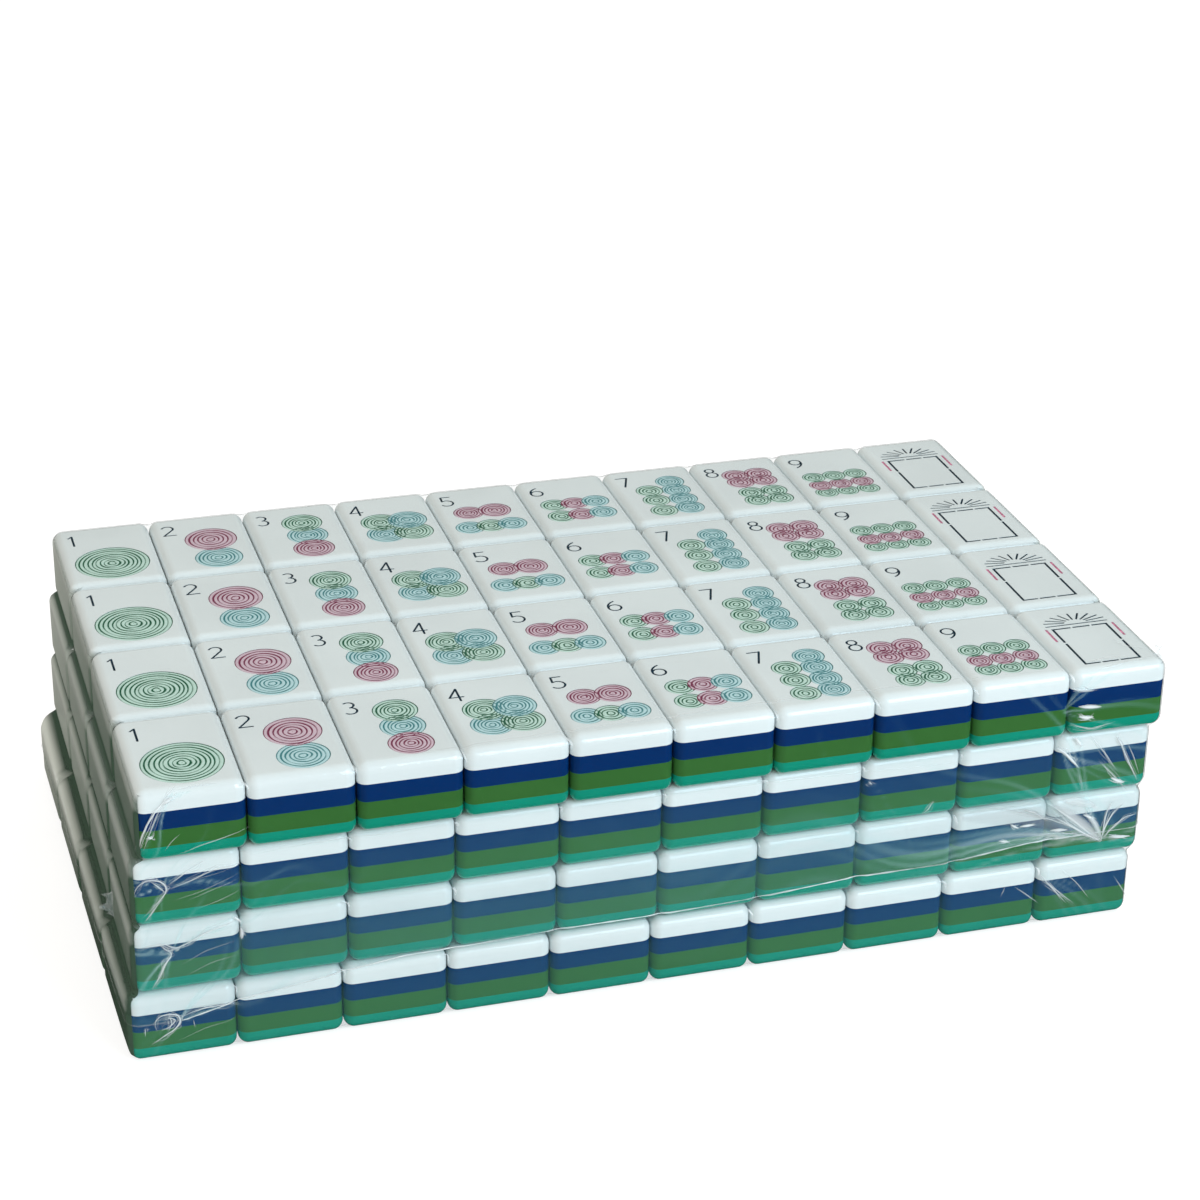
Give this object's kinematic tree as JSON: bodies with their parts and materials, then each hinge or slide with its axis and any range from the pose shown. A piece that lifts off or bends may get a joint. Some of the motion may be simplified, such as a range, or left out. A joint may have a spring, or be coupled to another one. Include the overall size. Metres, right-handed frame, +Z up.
{
  "type": "shrink-wrapped mahjong tile block",
  "caption": "Block of laminated mahjong tiles in tiers of rows, sealed in clear shrink film: suit tiles of ringed discs and blank-framed tiles face up on top.",
  "frame": {"origin": "middle of the block's footprint, on the surface it stands on", "axes": "+X along the rows of ten to the right, +Y from the front row to the back row, +Z up through the tiers"},
  "size_m": [0.2334, 0.134, 0.0627],
  "materials": {
    "white_face": "polished white face layer",
    "navy_layer": "polished navy layer",
    "olive_layer": "polished olive green layer",
    "teal_back": "polished teal back layer",
    "green_paint": "satin soft green engraving paint",
    "pink_paint": "satin rose engraving paint",
    "aqua_paint": "satin aqua engraving paint",
    "dark_paint": "satin dark navy engraving paint",
    "rose_paint": "satin deep rose engraving paint",
    "film": "clear glossy shrink film",
    "film_weld": "clear film, thicker at its weld"
  },
  "bodies": {
    "tier_1": {"tier_1_white_faces": "white_face", "tier_1_navy_layers": "navy_layer", "tier_1_olive_layers": "olive_layer", "tier_1_teal_backs": "teal_back", "film_tray_floor": "film", "film_tray_front": "film", "film_tray_back": "film", "film_tray_left": "film", "film_tray_right": "film"},
    "tier_2": {"tier_2_white_faces": "white_face", "tier_2_navy_layers": "navy_layer", "tier_2_olive_layers": "olive_layer", "tier_2_teal_backs": "teal_back"},
    "tier_3": {"tier_3_white_faces": "white_face", "tier_3_navy_layers": "navy_layer", "tier_3_olive_layers": "olive_layer", "tier_3_teal_backs": "teal_back"},
    "tier_4": {"dots_1_faces": "white_face", "dots_2_faces": "white_face", "dots_3_faces": "white_face", "dots_4_faces": "white_face", "dots_5_faces": "white_face", "dots_6_faces": "white_face", "dots_7_faces": "white_face", "dots_8_faces": "white_face", "dots_9_faces": "white_face", "soap_faces": "white_face", "tier_4_navy_layers": "navy_layer", "tier_4_olive_layers": "olive_layer", "tier_4_teal_backs": "teal_back", "green_ring_paint": "green_paint", "pink_ring_paint": "pink_paint", "aqua_ring_paint": "aqua_paint", "numeral_paint": "dark_paint", "soap_frame_paint": "dark_paint", "soap_crest_paint": "dark_paint", "soap_side_bar_paint": "rose_paint"},
    "film_cover": {"film_cover_top": "film", "film_cover_front": "film", "film_cover_back": "film", "film_cover_left": "film", "film_cover_right": "film", "film_weld_seam": "film_weld", "film_fins": "film"}
  },
  "joints": [
    {"name": "tier_2_lift", "type": "slide", "parent": "tier_1", "child": "tier_2", "axis": [0, 0, 1], "range_m": [0, 0.06]},
    {"name": "tier_3_lift", "type": "slide", "parent": "tier_2", "child": "tier_3", "axis": [0, 0, 1], "range_m": [0, 0.05]},
    {"name": "tier_4_lift", "type": "slide", "parent": "tier_3", "child": "tier_4", "axis": [0, 0, 1], "range_m": [0, 0.05]},
    {"name": "film_cover_lift", "type": "slide", "parent": "tier_4", "child": "film_cover", "axis": [0, 0, 1], "range_m": [0, 0.08]}
  ]
}
